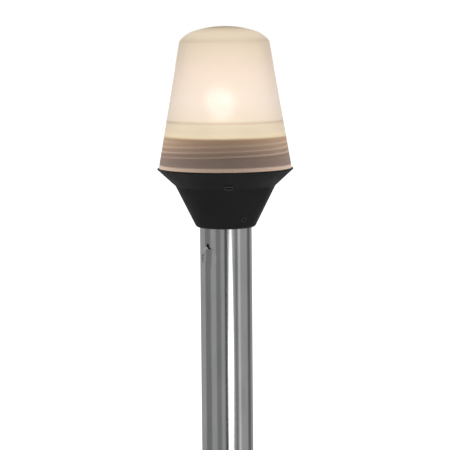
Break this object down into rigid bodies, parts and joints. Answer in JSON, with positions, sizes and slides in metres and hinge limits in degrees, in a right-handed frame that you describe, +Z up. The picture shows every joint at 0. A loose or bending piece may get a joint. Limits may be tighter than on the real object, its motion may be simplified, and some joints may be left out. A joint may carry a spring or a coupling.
{
  "type": "navigation light",
  "caption": "Plug-in all-round navigation light: a screw-on frosted globe over a bayonet lamp in a flared black collar on a plain round aluminium pole.",
  "frame": {"origin": "centre of the pole's lower end face, where the plug's flange meets it", "axes": "+Z up the pole to the globe's top; -Y towards the front, where the upper stake shows to the left; +Y and -Y through the two prongs"},
  "size_m": [0.0666, 0.0664, 0.3183],
  "materials": {
    "frosted_globe": "frosted translucent moulding, lit from inside",
    "collar_black": "fine satin moulded black",
    "seal_rubber": "matt black",
    "pole_aluminium": "bright anodised, drawn along its length",
    "holder_plastic": "black moulding",
    "socket_nickel": "nickel plated brass",
    "insulator_fibre": "brown phenolic sheet",
    "contact_brass": "bare brass",
    "spring_steel": "bright drawn wire",
    "lamp_cap": "lacquered brass",
    "lamp_fill": "black vitreous filling",
    "lamp_solder": "solder",
    "lamp_glass": "clear",
    "filament_metal": "glowing tungsten",
    "plug_nylon": "black nylon",
    "wire_red": "red wire insulation",
    "wire_black": "black wire insulation"
  },
  "bodies": {
    "light": {"pole_tube": "pole_aluminium", "collar_housing": "collar_black", "lampholder_insert": "holder_plastic", "socket_shell": "socket_nickel", "socket_base": "insulator_fibre", "plug_body": "plug_nylon", "terminal_positive": "contact_brass", "terminal_negative": "contact_brass", "contact_spring_positive": "spring_steel", "contact_spring_negative": "spring_steel", "plug_prong_positive": "contact_brass", "plug_prong_negative": "contact_brass", "wire_positive": "wire_red", "wire_negative": "wire_black"},
    "seal_ring": {"lens_seal": "seal_rubber"},
    "globe": {"globe_lens": "frosted_globe"},
    "contact_block": {"contact_carrier": "insulator_fibre", "contact_plunger_positive": "contact_brass", "contact_plunger_negative": "contact_brass"},
    "lamp": {"bulb_cap": "lamp_cap", "bulb_insulator": "lamp_fill", "bulb_glass": "lamp_glass", "filament_bead": "lamp_glass", "bulb_filament": "filament_metal", "bulb_contact_positive": "lamp_solder", "bulb_contact_negative": "lamp_solder", "filament_lead_positive": "spring_steel", "filament_lead_negative": "spring_steel"}
  },
  "joints": [
    {"name": "lens_rise", "type": "slide", "parent": "light", "child": "seal_ring", "axis": [0, 0, 1], "range_m": [0, 0.00625]},
    {"name": "lens_unscrew", "type": "hinge", "parent": "seal_ring", "child": "globe", "pos_m": [0, 0, 0.2357], "axis": [0, 0, 1], "range_deg": [0, 450]},
    {"name": "bulb_push", "type": "slide", "parent": "light", "child": "contact_block", "axis": [0, 0, 1], "range_m": [-0.0015, 0], "stiffness_N_per_m": 2000, "springref_m": 0.002, "deforming": ["contact_spring_positive", "contact_spring_negative"]},
    {"name": "bulb_twist", "type": "hinge", "parent": "contact_block", "child": "lamp", "pos_m": [0, 0, 0.2357], "axis": [0, 0, 1], "range_deg": [0, 20]}
  ],
  "couplings": [
    {"joint": "lens_rise", "follows": "lens_unscrew", "m_per_rad": 0.00079577},
    {"joint": "bulb_twist", "follows": "bulb_push", "rad_per_m": -232.7}
  ]
}
